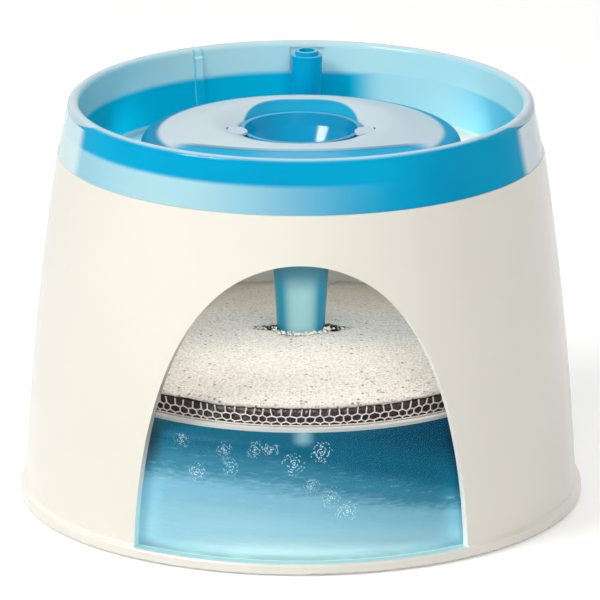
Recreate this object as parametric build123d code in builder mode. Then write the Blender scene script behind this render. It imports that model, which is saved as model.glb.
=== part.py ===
from build123d import *
import os
from math import sqrt

# Pet water fountain: a white tapered tank with an arched window, a blue drinking dish with a
# domed top, a funnel that drains the dish onto a filter pad, and a small pump with a riser.
# Millimetres. +Z is up, the origin is under the centre of the foot, and the window faces -Y.

# ---- clearances and gaps ----
seat_gap = 0.1  # between flat faces of pieces that lift apart
loose_fit = 0.5  # around pieces that drop into an opening
slip_fit = 0.05  # radial, between a pin, tube or screw and its hole
glue_line = 0.15  # between the wall and what is bonded to its inside

# ---- housing: foot, wall, top web and collar ----
foot_radius = 120.0
foot_height = 5.0
foot_clearance = 0.6  # height of the housing above the surface
foot_edge = 1.0  # rounding of the foot's outer edges
foot_lip = 2.4  # from the foot's edge to the wall
foot_fillet = 2.0  # height of the hollow between foot and wall
foot_ledge = 8.6  # width of the ledge inside the wall that carries the window
foot_ledge_drop = 1.0  # how far that ledge lies below the window's sill
foot_ledge_thickness = 1.2
weld_width = 7.0  # how far the base plate reaches under the ledge
wall = 3.0
wall_rise = 143.5
wall_lean = 14.5  # how much the wall narrows on its way up
wall_bulge = 1.8  # how far the wall's middle stands outside a straight cone
web = 3.0  # thickness of the top ring
collar_gap = 2.6  # between the collar and the dish's floor corner
collar_wall = 2.0
collar_height = 9.5  # above the wall's top

# ---- arched window ----
arch_half_width = 69.5
arch_rise = 125.0
pane_margin = 6.0  # overlap of the pane behind the wall
pane_thickness = 2.0
gasket_thickness = 0.8
gasket_setback = 1.0  # distance from the arch's edge

# ---- base plate and feet ----
base_thickness = 1.8
base_rim_width = 4.0
base_rim_inset = 1.5
pad_count = 6
pad_radius = 7.0
pad_inset = 6.0  # from the ledge's inner edge to the circle of feet
pad_pocket = 0.8  # depth of the pockets that hold the feet

# ---- filter shelf ----
shelf_height = 54.5  # top of the shelf above the tank's floor
shelf_thickness = 1.6
shelf_width = 6.8  # of the ring, without the lugs that take the screws
shelf_overlap = 2.5  # how far the tray rests on the shelf
boss_count = 4
boss_inset = 2.1  # of the screws, from the wall's top edge
boss_radius = 4.0
boss_height = 14.0
screw_radius = 1.5
screw_head_radius = 2.8
screw_head_height = 2.0
screw_length = 11.0

# ---- filter pack ----
pack_clearance = 1.9  # between the filter pack and the collar that it is lifted through
net_thickness = 0.6
tray_flange = 0.9
tray_depth = 2.0  # how far the grid hangs below the flange
tray_bar = 2.5
tray_spokes = 12
tray_hub_radius = 14.0
tray_ring_radii = [36.0, 54.0, 71.0]
carbon_height = 5.8
foam_edge_height = 2.0
foam_height = 8.0
foam_shoulder = 31.0  # width of the slope between the foam's edge and its crown
foam_crown_drop = 0.7
foam_round = 0.6
foam_hole_margin = 0.5  # between the foam's hole and the funnel's stem
foam_slit_radius = 18.5  # the slit across the hole, which lets the foam open for the stem
foam_slit_half_width = 4.4

# ---- drinking dish ----
dish_wall = 2.0
skirt_setback = 0.6  # of the skirt from the housing's edge
skirt_lean = 3.9
rim_width = 4.9
rim_rise = 22.6  # of the rim above the housing's edge
dish_lean = 2.7  # how much the dish's inside narrows down to its floor
dish_drop = 7.5  # of the dish's floor below the housing's edge
dish_corner = 2.0
tower_radius = 25.5
tower_height = 12.0
rib_width = 4.4
rib_height = 0.9
rib_angle = 118.3  # about +Z, from +X
recess_width = 15.0
recess_depth = 0.9

# ---- standpipe and riser ----
pipe_x = 2.5
pipe_radius = 6.7
pipe_margin = 0.3  # between the standpipe and the floor's rounded corner
pipe_drop = 2.6  # of the standpipe's shoulder below the rim
pipe_tip_radius = 5.0
pipe_tip_height = 1.9
tube_radius = 4.6
tube_bore = 3.4
nipple_height = 8.0
spigot_length = 10.0
sleeve_wall = 2.2
sleeve_grip = 8.0
elbow_radius = 9.0
cord_space = 4.0  # beside the riser, where the pump's cord passes the filter

# ---- dome ----
dome_margin = 7.3  # between dome and standpipe
dome_wall = 2.0
dome_shoulder = 13.3  # heights above the dish's floor
dome_crest = 20.9
dome_mouth = 16.6
dome_crest_inset = 11.7  # of the crest from the mouth's edge
dome_lip = 6.6  # depth of the lip inside the mouth
dome_rounds = [5.0, 14.0, 2.5]
mouth_margin = 0.8  # between the mouth and the tower below it

# ---- funnel ----
funnel_wall = 2.0
funnel_rim_rise = 0.6  # of the funnel's rim above the dome's mouth
funnel_bowl_depth = 3.0  # of the bowl's straight part below the tower's top
funnel_bowl_rise = 3.4  # of the bowl's inner edge above its outer one
funnel_neck_radius = 14.4
funnel_neck_drop = 5.0  # of the neck below the dish's floor
stem_tip_radius = 9.7
stem_tip_gap = 2.2  # between the stem and the carbon pad
seal_thickness = 1.0
ear_half_width = 4.0
ear_half_length = 6.0
ear_offset = 1.9  # of the ears' centre from the mouth's edge
ear_angle = 18.0  # of each ear towards the front
ear_thickness = 1.2

# ---- pump ----
pump_height = 34.0
pump_stand = 6.6  # height of the pump's underside above the tank's floor
pump_coil_side = 25.0  # from the rotor axis to the coil's side of the casing
pump_free_side = 17.0
pump_length = 41.5
pump_wall = 2.0
pump_front_wall = 3.5
pump_corner = 4.0
cap_thickness = 2.0
well_bore = 9.2
well_wall = 1.2
well_depth = 34.3
volute_radius = 16.5
volute_wall = 2.0
volute_depth = 14.0
flange_thickness = 2.5
intake_radius = 6.0
nozzle_rise = 9.5
nozzle_run = 2.0  # from the nozzle's end to the elbow's bend
shaft_radius = 1.15
bush_radius = 3.0
bush_length = 3.0
magnet_radius = 8.6
magnet_length = 26.0
impeller_radius = 13.0
impeller_hub_radius = 3.5
impeller_disc = 1.5
blade_count = 6
blade_thickness = 1.2
running_gap = 1.0
core_stack = 20.0
core_yoke = 4.0
core_gap = 0.4  # between the rotor's well and the core
core_margin = 0.2  # between the core and the casing
coil_build = 2.8
strainer_depth = 10.5
strainer_wall = 1.5
strainer_slots = 16
strainer_slot_width = 2.6
regulator_radius = 9.0
regulator_thickness = 2.5
regulator_pin_radius = 2.0
gland_radius = 4.5
gland_tip_radius = 3.2
gland_length = 10.0
gland_bore = 2.4
gland_y = 8.0  # from the rotor axis
cup_radius = 7.5
cup_lip = 1.5
cup_edge = 0.8
cup_hollow = 1.2
cup_neck_radius = 2.2
cup_neck_height = 2.0
cup_inset = 6.0
small_screw_radius = 1.1
small_head_radius = 2.1
small_head_height = 1.4
small_screw_inset = 2.6

# ---- cord notch in the housing's top edge ----
cord_angle = 90.0  # about +Z, from +X
cord_notch_width = 6.5
cord_notch_depth = 6.5

# ---- worked out from the values above: housing ----
wall_bottom_radius = foot_radius - foot_lip
wall_top_radius = wall_bottom_radius - wall_lean
wall_bottom_z = foot_height + foot_fillet
wall_top_z = wall_bottom_z + wall_rise
ledge_z = foot_height - foot_ledge_drop
ledge_low = ledge_z - foot_ledge_thickness
foot_inner_radius = wall_bottom_radius - wall - foot_ledge
weld_radius = foot_inner_radius + weld_width
floor_z = foot_clearance + base_thickness
pad_circle = foot_inner_radius - pad_inset
arch_depth = sqrt(wall_bottom_radius**2 - arch_half_width**2)

# ---- dish and collar ----
skirt_radius = wall_top_radius - skirt_setback
skirt_z = wall_top_z + seat_gap
rim_outer_radius = skirt_radius - skirt_lean
rim_inner_radius = rim_outer_radius - rim_width
rim_round = rim_width / 2
rim_z = wall_top_z + rim_rise
rim_spring_z = rim_z - rim_round
dish_floor_radius = rim_inner_radius - dish_lean
dish_floor_z = wall_top_z - dish_drop
dish_under_z = dish_floor_z - dish_wall
tower_top = dish_floor_z + tower_height
collar_inner_radius = dish_floor_radius + dish_wall + collar_gap
collar_outer_radius = collar_inner_radius + collar_wall
collar_top = wall_top_z + collar_height
pipe_y = dish_floor_radius - dish_corner - pipe_margin - pipe_radius
pipe_shoulder_z = rim_z - pipe_drop
spigot_z = dish_under_z - spigot_length
sleeve_bore = tube_radius + slip_fit
sleeve_radius = sleeve_bore + sleeve_wall
slot_half_width = sleeve_radius + 2 * loose_fit + cord_space

# ---- shelf and filter pack ----
shelf_z = floor_z + shelf_height
shelf_low = shelf_z - shelf_thickness
boss_circle = wall_top_radius - boss_inset
net_radius = collar_inner_radius - pack_clearance
carbon_radius = net_radius - net_thickness - slip_fit
tray_radius = carbon_radius - loose_fit
shelf_inner_radius = tray_radius - shelf_overlap
shelf_outer_radius = shelf_inner_radius + shelf_width
grid_radius = shelf_inner_radius - loose_fit
tray_z = shelf_z + seat_gap
tray_top = tray_z + tray_flange
grid_low = tray_z - tray_depth
carbon_z = tray_top + seat_gap
carbon_top = carbon_z + carbon_height
foam_z = carbon_top + seat_gap

# ---- dome and funnel ----
dome_radius = pipe_y - pipe_radius - dome_margin
mouth_radius = tower_radius + mouth_margin
dome_crest_radius = mouth_radius + dome_crest_inset
mouth_z = dish_floor_z + dome_mouth
funnel_rim_radius = mouth_radius - loose_fit
funnel_rim_z = mouth_z + funnel_rim_rise
funnel_bowl_radius = tower_radius - dish_wall - loose_fit
funnel_neck_z = dish_floor_z - funnel_neck_drop
stem_tip_z = carbon_top + stem_tip_gap
foam_top = foam_z + foam_height
stem_slope = (funnel_neck_radius - stem_tip_radius) / (funnel_neck_z - stem_tip_z)
stem_radius_in_foam = stem_tip_radius + stem_slope * (foam_top - stem_tip_z)
foam_hole_radius = stem_radius_in_foam + foam_hole_margin
ear_centre = mouth_radius + ear_offset
ear_span = 180 + 2 * ear_angle

# ---- pump ----
nozzle_reach = volute_radius + loose_fit + sleeve_grip
pump_y = pipe_y - elbow_radius - nozzle_run - nozzle_reach
pump_z = floor_z + pump_stand + pump_height / 2
pump_low = pump_z - pump_height / 2
pump_high = pump_z + pump_height / 2
pump_left = pump_y - pump_coil_side
pump_right = pump_y + pump_free_side
pump_width = pump_coil_side + pump_free_side
volute_front = pipe_x + volute_depth / 2
casing_front = pipe_x - volute_depth / 2
casing_back = casing_front - pump_length
well_end = casing_front - well_depth
nozzle_z = pump_z + nozzle_rise

os.makedirs("parts", exist_ok=True)


def save(part, name):
    """Labels a finished piece and writes it to its own file."""
    part.label = name
    export_step(part, f"parts/{name}.step")
    print(name, round(part.volume / 1000, 2), "cm3", len(part.solids()), "solid(s)")


def ring(outer, inner, low, high):
    """A ring about the main axis, or a disc where inner is zero."""
    with BuildPart() as body:
        with BuildSketch(Plane.XY.offset(low)):
            Circle(outer)
            if inner > 0:
                Circle(inner, mode=Mode.SUBTRACT)
        extrude(amount=high - low)
    return body.part


def tube_x(x_low, x_high, outer, inner=0.0):
    """A round bar or tube along X on the pump's rotor axis."""
    with BuildPart() as body:
        with BuildSketch(Plane.YZ.offset(x_low)):
            with Locations((pump_y, pump_z)):
                Circle(outer)
                if inner > 0:
                    Circle(inner, mode=Mode.SUBTRACT)
        extrude(amount=x_high - x_low)
    return body.part


def wall_points(inset):
    """Foot, middle and top of the wall's arc, moved inwards by inset."""
    middle_radius = (wall_bottom_radius + wall_top_radius) / 2 + wall_bulge
    middle_z = (wall_bottom_z + wall_top_z) / 2
    return [
        (wall_bottom_radius - inset, wall_bottom_z),
        (middle_radius - inset, middle_z),
        (wall_top_radius - inset, wall_top_z),
    ]


def wall_layer(outer_inset, inner_inset, base):
    """A full turn of the wall's shape between two insets, from a base height up."""
    with BuildPart() as layer:
        with BuildSketch(Plane.XZ):
            with BuildLine():
                outer = ThreePointArc(*wall_points(outer_inset))
                inner = ThreePointArc(*wall_points(inner_inset))
                Line(outer @ 1, inner @ 1)
                Polyline(
                    outer @ 0,
                    (wall_bottom_radius - outer_inset, base),
                    (wall_bottom_radius - inner_inset, base),
                    inner @ 0,
                )
            make_face()
        revolve(axis=Axis.Z)
    return layer.part


def arch_wedge(grow, base):
    """The arched opening from a base height up, as a wedge that narrows towards the axis."""
    with BuildPart() as wedge:
        for reach in (arch_depth - 6 * wall, arch_depth + 12 * wall):
            half_width = (arch_half_width + grow) * reach / arch_depth
            with BuildSketch(Plane.XZ.offset(reach)):
                with BuildLine():
                    crown = EllipticalCenterArc((0, foot_height), half_width, arch_rise + grow, arc_size=180)
                    if base < foot_height:
                        Polyline(crown @ 0, (half_width, base), (-half_width, base), crown @ 1)
                    else:
                        Line(crown @ 0, crown @ 1)
                make_face()
        loft(ruled=True)
    return wedge.part


def service_slot(low, high, half_width):
    """The slot at the rear through which the riser and the pump's cord pass."""
    with BuildPart() as slot:
        with BuildSketch(Plane.XY.offset(low)):
            with Locations((pipe_x, pipe_y)):
                Circle(half_width)
            with Locations((pipe_x, pipe_y + foot_radius / 2)):
                Rectangle(2 * half_width, foot_radius)
        extrude(amount=high - low)
    return slot.part


# ==== housing shell: wall and foot; the top ring with its collar and the shelf's bosses are bonded in ====
wall_shell = wall_layer(0, wall, foot_height)
inside_of_wall = wall_layer(wall + glue_line, foot_ledge + boss_height, foot_height)
arch_opening = arch_wedge(0, foot_height)

with BuildPart() as shelf_bosses:
    with BuildSketch(Plane.XY.offset(shelf_z)):
        with PolarLocations(boss_circle, boss_count, start_angle=180 / boss_count):
            Circle(boss_radius)
            Rectangle(4 * wall, 2 * boss_radius, align=(Align.MIN, Align.CENTER))
    extrude(amount=boss_height)
    add(inside_of_wall, mode=Mode.INTERSECT)
    with BuildSketch(Plane.XY.offset(shelf_z)):
        with PolarLocations(boss_circle, boss_count, start_angle=180 / boss_count):
            Circle(screw_radius + slip_fit)
    extrude(amount=screw_length, mode=Mode.SUBTRACT)
save(shelf_bosses.part, "shelf_bosses")

with BuildPart() as cord_notch:
    with BuildSketch(Plane.XY.offset(wall_top_z - cord_notch_depth)):
        with PolarLocations(dish_floor_radius, 1, start_angle=cord_angle):
            Rectangle(foot_radius - dish_floor_radius, cord_notch_width, align=(Align.MIN, Align.CENTER))
    extrude(amount=cord_notch_depth + 2 * collar_height)

with BuildPart() as housing_shell:
    add(wall_shell)
    with BuildSketch(Plane.XZ):
        with BuildLine():
            Polyline(
                (wall_bottom_radius, wall_bottom_z),
                (wall_bottom_radius - wall, wall_bottom_z),
                (wall_bottom_radius - wall, ledge_z),
                (foot_inner_radius, ledge_z),
                (foot_inner_radius, ledge_low),
                (weld_radius, ledge_low),
                (weld_radius, foot_clearance),
                (foot_radius - foot_edge, foot_clearance),
            )
            RadiusArc(
                (foot_radius - foot_edge, foot_clearance),
                (foot_radius, foot_clearance + foot_edge),
                -foot_edge,
            )
            Line((foot_radius, foot_clearance + foot_edge), (foot_radius, foot_height - foot_edge))
            RadiusArc(
                (foot_radius, foot_height - foot_edge),
                (foot_radius - foot_edge, foot_height),
                -foot_edge,
            )
            TangentArc(
                (foot_radius - foot_edge, foot_height),
                (wall_bottom_radius, wall_bottom_z),
                tangent=(-1, 0),
            )
        make_face()
    revolve(axis=Axis.Z)
    add(arch_opening, mode=Mode.SUBTRACT)
    add(cord_notch.part, mode=Mode.SUBTRACT)
save(housing_shell.part, "housing_shell")

with BuildPart() as top_ring:
    add(ring(wall_top_radius - wall - glue_line, collar_inner_radius, wall_top_z - web, wall_top_z))
    add(ring(collar_outer_radius, collar_inner_radius, wall_top_z, collar_top))
    add(cord_notch.part, mode=Mode.SUBTRACT)
save(top_ring.part, "top_ring")

# ==== base plate, welded into the foot from below, and its rubber feet ====
with BuildPart() as base_plate:
    add(ring(weld_radius - slip_fit, 0, foot_clearance, floor_z))
    with BuildSketch(Plane.XY.offset(floor_z)):
        Circle(weld_radius - base_rim_inset)
        Circle(weld_radius - base_rim_inset - base_rim_width, mode=Mode.SUBTRACT)
    extrude(amount=ledge_low - floor_z)
    with BuildSketch(Plane.XY.offset(foot_clearance)):
        with PolarLocations(pad_circle, pad_count):
            Circle(pad_radius + slip_fit)
    extrude(amount=pad_pocket, mode=Mode.SUBTRACT)
save(base_plate.part, "base_plate")

with BuildPart() as rubber_feet:
    with BuildSketch():
        with PolarLocations(pad_circle, pad_count):
            Circle(pad_radius)
    extrude(amount=foot_clearance + pad_pocket)
save(rubber_feet.part, "rubber_feet")

# ==== window pane and its gasket, bonded to the inside of the wall ====
pane_wedge = arch_wedge(pane_margin, ledge_z)
gasket_hole = arch_wedge(gasket_setback, foot_height)
gasket_outside = wall + glue_line
pane_outside = gasket_outside + gasket_thickness + glue_line
gasket_layer = wall_layer(gasket_outside, gasket_outside + gasket_thickness, ledge_z)
pane_layer = wall_layer(pane_outside, pane_outside + pane_thickness, ledge_z)

with BuildPart() as window_pane:
    add(pane_layer)
    add(pane_wedge, mode=Mode.INTERSECT)
save(window_pane.part, "window_pane")

with BuildPart() as window_gasket:
    add(gasket_layer)
    add(pane_wedge, mode=Mode.INTERSECT)
    add(gasket_hole, mode=Mode.SUBTRACT)
save(window_gasket.part, "window_gasket")

# ==== filter shelf and its screws ====
shelf_slot = service_slot(shelf_low, shelf_z, slot_half_width)

with BuildPart() as shelf_ring:
    add(ring(shelf_outer_radius, shelf_inner_radius, shelf_low, shelf_z))
    add(shelf_slot & ring(boss_circle - 2 * boss_radius, 0, shelf_low, shelf_z), mode=Mode.SUBTRACT)
    with BuildSketch(Plane.XY.offset(shelf_low)):
        with PolarLocations(boss_circle, boss_count, start_angle=180 / boss_count):
            Circle(boss_radius + loose_fit)
            Rectangle(2 * boss_radius, 2 * boss_radius, align=(Align.MAX, Align.CENTER))
    extrude(amount=shelf_thickness)
    with BuildSketch(Plane.XY.offset(shelf_low)):
        with PolarLocations(boss_circle, boss_count, start_angle=180 / boss_count):
            Circle(screw_radius + slip_fit)
    extrude(amount=shelf_thickness, mode=Mode.SUBTRACT)
save(shelf_ring.part, "shelf_ring")

with BuildPart() as shelf_screws:
    with BuildSketch(Plane.XY.offset(shelf_low)):
        with PolarLocations(boss_circle, boss_count, start_angle=180 / boss_count):
            Circle(screw_head_radius)
    extrude(amount=-screw_head_height)
    with BuildSketch(Plane.XY.offset(shelf_low)):
        with PolarLocations(boss_circle, boss_count, start_angle=180 / boss_count):
            Circle(screw_radius)
    extrude(amount=screw_length)
    with BuildSketch(Plane.XY.offset(shelf_low - screw_head_height)):
        with PolarLocations(boss_circle, boss_count, start_angle=180 / boss_count):
            Rectangle(1.2 * screw_head_radius, 0.3 * screw_head_radius)
            Rectangle(0.3 * screw_head_radius, 1.2 * screw_head_radius)
    extrude(amount=screw_head_height / 2, mode=Mode.SUBTRACT)
save(shelf_screws.part, "shelf_screws")

# ==== filter pack: tray, carbon pad, net and foam ====
filter_slot = service_slot(grid_low, foam_top, slot_half_width)

with BuildPart() as filter_tray:
    add(ring(tray_radius, grid_radius - tray_bar, tray_z, tray_top))
    with BuildSketch(Plane.XY.offset(grid_low)):
        Circle(grid_radius)
        Circle(grid_radius - tray_bar, mode=Mode.SUBTRACT)
        with PolarLocations(0, tray_spokes, start_angle=180 / tray_spokes):
            Rectangle(grid_radius - tray_bar / 2, tray_bar, align=(Align.MIN, Align.CENTER))
        Circle(tray_hub_radius)
    extrude(amount=tray_top - grid_low)
    for ring_radius in tray_ring_radii:
        add(ring(ring_radius, ring_radius - tray_bar, grid_low, tray_top))
    add(filter_slot, mode=Mode.SUBTRACT)
save(filter_tray.part, "filter_tray")

with BuildPart() as carbon_pad:
    add(ring(carbon_radius, 0, carbon_z, carbon_top))
    add(filter_slot, mode=Mode.SUBTRACT)
save(carbon_pad.part, "carbon_pad")

with BuildPart() as filter_net:
    add(ring(net_radius, net_radius - net_thickness, tray_z, carbon_top))
    add(filter_slot, mode=Mode.SUBTRACT)
save(filter_net.part, "filter_net")

with BuildPart() as foam_pad:
    with BuildSketch(Plane.XZ):
        with BuildLine():
            FilletPolyline(
                (0, foam_z),
                (carbon_radius, foam_z),
                (carbon_radius, foam_z + foam_edge_height),
                (carbon_radius - foam_shoulder, foam_top - foam_crown_drop),
                (0, foam_top),
                radius=foam_round,
            )
            Line((0, foam_top), (0, foam_z))
        make_face()
    revolve(axis=Axis.Z)
    with BuildSketch(Plane.XY.offset(foam_z)):
        Circle(foam_hole_radius)
        Ellipse(foam_slit_radius, foam_slit_half_width)
    extrude(amount=foam_height, mode=Mode.SUBTRACT)
    add(filter_slot, mode=Mode.SUBTRACT)
save(foam_pad.part, "foam_pad")

# ==== drinking dish ====
wall_slope = (rim_inner_radius - dish_floor_radius) / (rim_spring_z - dish_floor_z)
skirt_slope = (rim_outer_radius - skirt_radius) / (rim_spring_z - skirt_z)
cavity_top = rim_spring_z - 0.75 * dish_wall
wall_back = dish_floor_radius + dish_wall + wall_slope * (cavity_top - dish_floor_z)
skirt_back = skirt_radius - dish_wall + skirt_slope * (cavity_top - skirt_z)

with BuildPart() as dish_rib:
    with BuildSketch(Plane.XZ):
        with BuildLine():
            Polyline(
                (dish_floor_radius - rib_height, dish_floor_z - dish_wall / 2),
                (rim_inner_radius - rib_height, rim_spring_z - dish_wall),
                (rim_inner_radius + dish_wall / 2, rim_spring_z),
                (dish_floor_radius + dish_wall / 2, dish_floor_z - dish_wall / 2),
                close=True,
            )
        make_face()
    half_turn = rib_width / rim_inner_radius * 90 / 3.14159
    revolve(axis=Axis.Z, revolution_arc=2 * half_turn)
rib_in_place = dish_rib.part.rotate(Axis.Z, rib_angle - half_turn)

with BuildPart() as pipe_recess:
    with BuildSketch(Plane.XZ.offset(-pipe_y)):
        with BuildLine():
            Polyline(
                (pipe_x - recess_width / 2, collar_top),
                (pipe_x + recess_width / 2, collar_top),
                (pipe_x + recess_width / 2, rim_spring_z),
                (pipe_x - recess_width / 2, rim_spring_z),
                close=True,
            )
        make_face()
    extrude(amount=pipe_y - rim_outer_radius)

with BuildPart() as recess_limit:
    with BuildSketch(Plane.XZ):
        with BuildLine():
            Polyline(
                (0, dish_floor_z),
                (dish_floor_radius + recess_depth, dish_floor_z),
                (rim_inner_radius + recess_depth, rim_spring_z),
                (0, rim_spring_z),
                close=True,
            )
        make_face()
    revolve(axis=Axis.Z)

with BuildPart() as drinking_dish:
    with BuildSketch(Plane.XZ):
        with BuildLine():
            ThreePointArc(
                (rim_outer_radius, rim_spring_z),
                (rim_outer_radius - rim_round, rim_z),
                (rim_inner_radius, rim_spring_z),
            )
            inner_face = FilletPolyline(
                (rim_inner_radius, rim_spring_z),
                (dish_floor_radius, dish_floor_z),
                (tower_radius, dish_floor_z),
                (tower_radius, tower_top),
                radius=dish_corner,
            )
            Polyline(
                inner_face @ 1,
                (tower_radius - dish_wall, tower_top),
                (tower_radius - dish_wall, dish_under_z),
                (dish_floor_radius + dish_wall - wall_slope * dish_wall, dish_under_z),
                (wall_back, cavity_top),
                (skirt_back, cavity_top),
                (skirt_radius - dish_wall, skirt_z),
                (skirt_radius, skirt_z),
                (rim_outer_radius, rim_spring_z),
            )
        make_face()
    revolve(axis=Axis.Z)
    add(rib_in_place)
    add(pipe_recess.part & recess_limit.part, mode=Mode.SUBTRACT)
    with BuildSketch(Plane.XY.offset(spigot_z)):
        with Locations((pipe_x, pipe_y)):
            Circle(tube_radius)
    extrude(amount=dish_floor_z + nipple_height - spigot_z)
    with BuildSketch(Plane.XY.offset(spigot_z)):
        with Locations((pipe_x, pipe_y)):
            Circle(tube_bore)
    extrude(amount=dish_floor_z + nipple_height - spigot_z, mode=Mode.SUBTRACT)
save(drinking_dish.part, "drinking_dish")

# ==== standpipe, pushed over the dish's nipple ====
with BuildPart() as standpipe:
    with BuildSketch(Plane.XY.offset(dish_floor_z)):
        with Locations((pipe_x, pipe_y)):
            Circle(pipe_radius)
    extrude(amount=pipe_shoulder_z - dish_floor_z)
    with BuildSketch(Plane.XY.offset(pipe_shoulder_z)):
        with Locations((pipe_x, pipe_y)):
            Circle(pipe_tip_radius)
    extrude(amount=pipe_tip_height)
    with BuildSketch(Plane.XY.offset(dish_floor_z)):
        with Locations((pipe_x, pipe_y)):
            Circle(tube_bore)
    extrude(amount=pipe_shoulder_z + pipe_tip_height - dish_floor_z, mode=Mode.SUBTRACT)
    with BuildSketch(Plane.XY.offset(dish_floor_z)):
        with Locations((pipe_x, pipe_y)):
            Circle(tube_radius + slip_fit)
    extrude(amount=nipple_height + slip_fit, mode=Mode.SUBTRACT)
save(standpipe.part, "standpipe")

# ==== dome, standing on the dish's floor round the tower ====
with BuildPart() as ear_pockets:
    with BuildSketch(Plane.XY.offset(mouth_z)):
        with PolarLocations(ear_centre, 2, start_angle=-ear_angle, angular_range=ear_span, endpoint=True):
            Ellipse(ear_half_width + loose_fit, ear_half_length + loose_fit)
    extrude(amount=dome_crest)

with BuildPart() as dome:
    with BuildSketch(Plane.XZ):
        with BuildLine():
            dome_line = FilletPolyline(
                (dome_radius, dish_floor_z + seat_gap),
                (dome_radius, dish_floor_z + dome_shoulder),
                (dome_crest_radius, dish_floor_z + dome_crest),
                (mouth_radius, mouth_z),
                (mouth_radius, mouth_z - dome_lip),
                radius=dome_rounds,
            )
            offset(dome_line, amount=dome_wall, side=Side.LEFT, closed=True)
        make_face()
    revolve(axis=Axis.Z)
    add(ear_pockets.part, mode=Mode.SUBTRACT)
save(dome.part, "dome")

# ==== funnel: rim, bowl, stem and two ears; its seal sits on the dish's tower ====
seal_z = tower_top + slip_fit
funnel_flange_z = seal_z + seal_thickness
funnel_bowl_z = tower_top - funnel_bowl_depth

with BuildPart() as funnel:
    with BuildSketch(Plane.XZ):
        with BuildLine():
            Polyline(
                (stem_tip_radius, stem_tip_z),
                (funnel_neck_radius, funnel_neck_z),
                (funnel_bowl_radius, funnel_bowl_z),
                (funnel_bowl_radius, funnel_flange_z),
                (funnel_rim_radius, funnel_flange_z),
                (funnel_rim_radius, funnel_rim_z),
                (funnel_rim_radius - funnel_wall, funnel_rim_z),
                (funnel_bowl_radius - funnel_wall / 2, funnel_bowl_z + funnel_bowl_rise),
                (funnel_neck_radius - funnel_wall, funnel_neck_z),
                (stem_tip_radius - funnel_wall, stem_tip_z),
                close=True,
            )
        make_face()
    revolve(axis=Axis.Z)
    with BuildSketch(Plane.XY.offset(funnel_rim_z)):
        with PolarLocations(ear_centre, 2, start_angle=-ear_angle, angular_range=ear_span, endpoint=True):
            Ellipse(ear_half_width, ear_half_length)
        Circle(funnel_rim_radius - funnel_wall, mode=Mode.SUBTRACT)
    extrude(amount=ear_thickness)
save(funnel.part, "funnel")

with BuildPart() as funnel_seal:
    add(ring(tower_radius, tower_radius - dish_wall, seal_z, funnel_flange_z))
save(funnel_seal.part, "funnel_seal")

# ==== pump casing: body, end cap, cover with volute and nozzle, screws ====
with BuildPart() as pump_body:
    with BuildSketch(Plane.YZ.offset(casing_back)):
        with Locations(((pump_left + pump_right) / 2, pump_z)):
            RectangleRounded(pump_width, pump_height, pump_corner)
    extrude(amount=pump_length)
    with BuildSketch(Plane.YZ.offset(casing_back)):
        with Locations(((pump_left + pump_right) / 2, pump_z)):
            RectangleRounded(
                pump_width - 2 * pump_wall, pump_height - 2 * pump_wall, pump_corner - pump_wall
            )
    extrude(amount=pump_length - pump_front_wall, mode=Mode.SUBTRACT)
    add(tube_x(well_end - well_wall, casing_front, well_bore + well_wall))
    add(tube_x(well_end, casing_front, well_bore), mode=Mode.SUBTRACT)
    add(tube_x(well_end, well_end + bush_length, bush_radius + well_wall, bush_radius))
    for y in (pump_left + small_screw_inset, pump_right - small_screw_inset):
        with BuildSketch(Plane.YZ.offset(casing_front)):
            with Locations((y, pump_low + small_screw_inset)):
                Circle(small_screw_radius + slip_fit)
        extrude(amount=-pump_front_wall, mode=Mode.SUBTRACT)
    with BuildSketch(Plane.YZ.offset(casing_front)):
        with Locations((pump_left + small_screw_inset, pump_high - small_screw_inset)):
            Circle(small_screw_radius + slip_fit)
    extrude(amount=-pump_front_wall, mode=Mode.SUBTRACT)
save(pump_body.part, "pump_body")

with BuildPart() as pump_end_cap:
    with BuildSketch(Plane.YZ.offset(casing_back - cap_thickness)):
        with Locations(((pump_left + pump_right) / 2, pump_z)):
            RectangleRounded(pump_width, pump_height, pump_corner)
        with Locations((pump_y + gland_y, pump_z + gland_y)):
            Circle(gland_bore, mode=Mode.SUBTRACT)
    extrude(amount=cap_thickness)
save(pump_end_cap.part, "pump_end_cap")

with BuildPart() as cable_gland:
    with BuildSketch(Plane.YZ.offset(casing_back - cap_thickness)):
        with Locations((pump_y + gland_y, pump_z + gland_y)):
            Circle(gland_radius)
    with BuildSketch(Plane.YZ.offset(casing_back - cap_thickness - gland_length)):
        with Locations((pump_y + gland_y, pump_z + gland_y)):
            Circle(gland_tip_radius)
    loft()
    with BuildSketch(Plane.YZ.offset(casing_back - cap_thickness - gland_length)):
        with Locations((pump_y + gland_y, pump_z + gland_y)):
            Circle(gland_bore)
    extrude(amount=gland_length, mode=Mode.SUBTRACT)
save(cable_gland.part, "cable_gland")

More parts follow.
